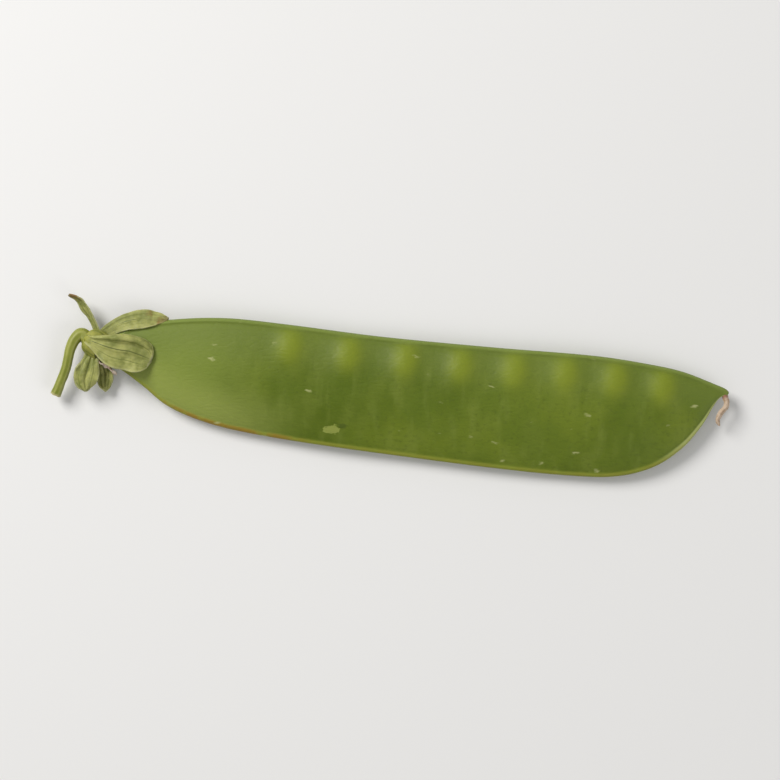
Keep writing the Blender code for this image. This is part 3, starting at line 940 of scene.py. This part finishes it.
def dried_material(name, pale, dark):
    """Withered flower tissue: papery and matt, streaked from pale pink to brown, and reddish
    where it joins the fresh part."""
    made, tree, shader = new_material(
        name,
        {
            "Roughness": 0.75,
            "IOR": 1.45,
            "Subsurface Weight": 0.2,
            "Subsurface Radius": (1.0, 0.8, 0.6),
            "Subsurface Scale": 0.4 * MM,
        },
    )
    share = node(tree, "ShaderNodeAttribute", attribute_name="dryness").outputs["Fac"]
    tint = paint(tree, pale, [
        (dark, 1.0, (spots(tree, 1.0 * MM), 0.4, 0.65)),
        ("#874A38", 0.8, (share, 0.16, 0.02)),
    ])
    tree.links.new(tint, shader.inputs["Base Color"])
    creases = spots(tree, 0.25 * MM)
    bump = node(tree, "ShaderNodeBump", {"Height": creases, "Strength": 0.5, "Distance": 0.08 * MM})
    tree.links.new(bump.outputs[0], shader.inputs["Normal"])
    return made


tip = Vector(rings[-1].mean(axis=0)) + pod_move
style_path = [
    tip + Vector(step) * MM
    for step in (
        (-0.1, 0.15, 0.0), (0.1, -0.5, 0.0), (0.4, -1.2, 0.1), (0.3, -2.3, 0.25),
        (-0.65, -3.6, 0.35), (-1.15, -5.0, 0.2), (-0.65, -6.2, 0.0),
    )
]
style = grown(
    rod_path("withered_style", style_path, STYLE_RADII, 70), ridged_rod, Radius=STYLE_RADIUS,
    Ridge_count=4.0, Ridge_height=0.04 * MM, Lump_size=0.9 * MM, Lump_height=0.22 * MM,
    Material=dried_material("withered_style_tissue", "#C2AC94", "#A08468"),
)
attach(style, "root")
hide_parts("style")

# ---------------------------------------------------------------- the stamen remnant
# The flower's dried stamens, which had grown together into a sheath: a narrow papery strip
# that is still caught between the pod's neck and the cup.

SHEATH_WIDTHS = ((0.0, 0.8), (0.4, 1.0), (0.8, 0.7), (1.0, 0.2))
PAPER_THICKNESS = 0.2 * MM

sheath_spine = around_neck((-1.4, -2.6, 0.5), (0.2, -3.3, 0.5), (1.9, -4.3, 0.4), (2.8, -5.1, 0.4))
sheath_blade = leaf_blade(
    "papery_stamen_strip", sheath_spine, side_at_base=(0, 0.25, 1), side_at_tip=(0.1, 0.35, 1),
    width=1.5 * MM, hollow=0.1, widths=SHEATH_WIDTHS, frill=0.25 * MM, fold=0.1 * MM,
)
sheath = grown(
    sheath_blade, veined_leaf, Vein_count=6.0, Vein_height=0.06 * MM, Wrinkle_size=1.0 * MM,
    Wrinkle_depth=0.4 * MM, Material=dried_material("papery_stamen_tissue", "#CDBBA8", "#A0836C"),
)
sheath_wall = sheath.modifiers.new("paper", "SOLIDIFY")
sheath_wall.thickness = PAPER_THICKNESS
sheath_wall.offset = 0
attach(sheath, "root")
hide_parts("stamen_sheath")

# ---------------------------------------------------------------- the studio
# A plain pale board under a large soft box from the stem's side, with a weaker one opposite.
# The camera looks straight down on the pod, turned so that the tip sits a little lower.

BOARD_REACH = 3.0
KEY_PLACE = (-0.55, 0.40, 0.60)
KEY_SIZE = 0.45
KEY_WATTS = 7.0
FILL_PLACE = (0.6, -0.35, 0.6)
FILL_SIZE = 0.6
FILL_WATTS = 1.5
AIR_BRIGHTNESS = 0.45
LENS = 120  # long, so that the pod is seen with hardly any perspective
FRAME_WIDTH = 158 * MM
CAMERA_TURN = math.radians(4.3)

low_corner, high_corner = cad_box
centre = (low_corner + high_corner) / 2
corners = [(x * BOARD_REACH, y * BOARD_REACH, 0) for x, y in ((-1, -1), (1, -1), (1, 1), (-1, 1))]
board_mesh = bpy.data.meshes.new("studio_floor")
board_mesh.from_pydata(corners, [], [(0, 1, 2, 3)])
board = bpy.data.objects.new("studio_floor", board_mesh)
bpy.context.scene.collection.objects.link(board)

# Matt painted board: an even pale ground that takes soft shadows and has no shine
board_finish, _, _ = new_material(
    "matt_white_board", {"Base Color": colour("#E4E2DF"), "Roughness": 0.6, "IOR": 1.45}
)
board_mesh.materials.append(board_finish)


def soft_box(name, place, size, watts):
    """A round soft light that faces the middle of the pod."""
    data = bpy.data.lights.new(name, "AREA")
    data.shape = "DISK"
    data.size = size
    data.energy = watts
    lamp = bpy.data.objects.new(name, data)
    lamp.location = place
    lamp.rotation_mode = "QUATERNION"
    lamp.rotation_quaternion = (centre - Vector(place)).to_track_quat("-Z", "Y")
    bpy.context.scene.collection.objects.link(lamp)


soft_box("key_light", KEY_PLACE, KEY_SIZE, KEY_WATTS)
soft_box("fill_light", FILL_PLACE, FILL_SIZE, FILL_WATTS)

world = bpy.data.worlds.new("studio_air")
bpy.context.scene.world = world
world.use_nodes = True
air = world.node_tree.nodes["Background"]
air.inputs["Color"].default_value = colour("#F4F6F8")
air.inputs["Strength"].default_value = AIR_BRIGHTNESS
bpy.context.scene.view_settings.view_transform = "Standard"

camera_data = bpy.data.cameras.new("camera")
camera_data.lens = LENS
camera = bpy.data.objects.new("camera", camera_data)
camera.location = (centre.x, centre.y, FRAME_WIDTH * LENS / camera_data.sensor_width)
camera.rotation_euler = (0, 0, CAMERA_TURN)
bpy.context.scene.collection.objects.link(camera)
bpy.context.scene.camera = camera
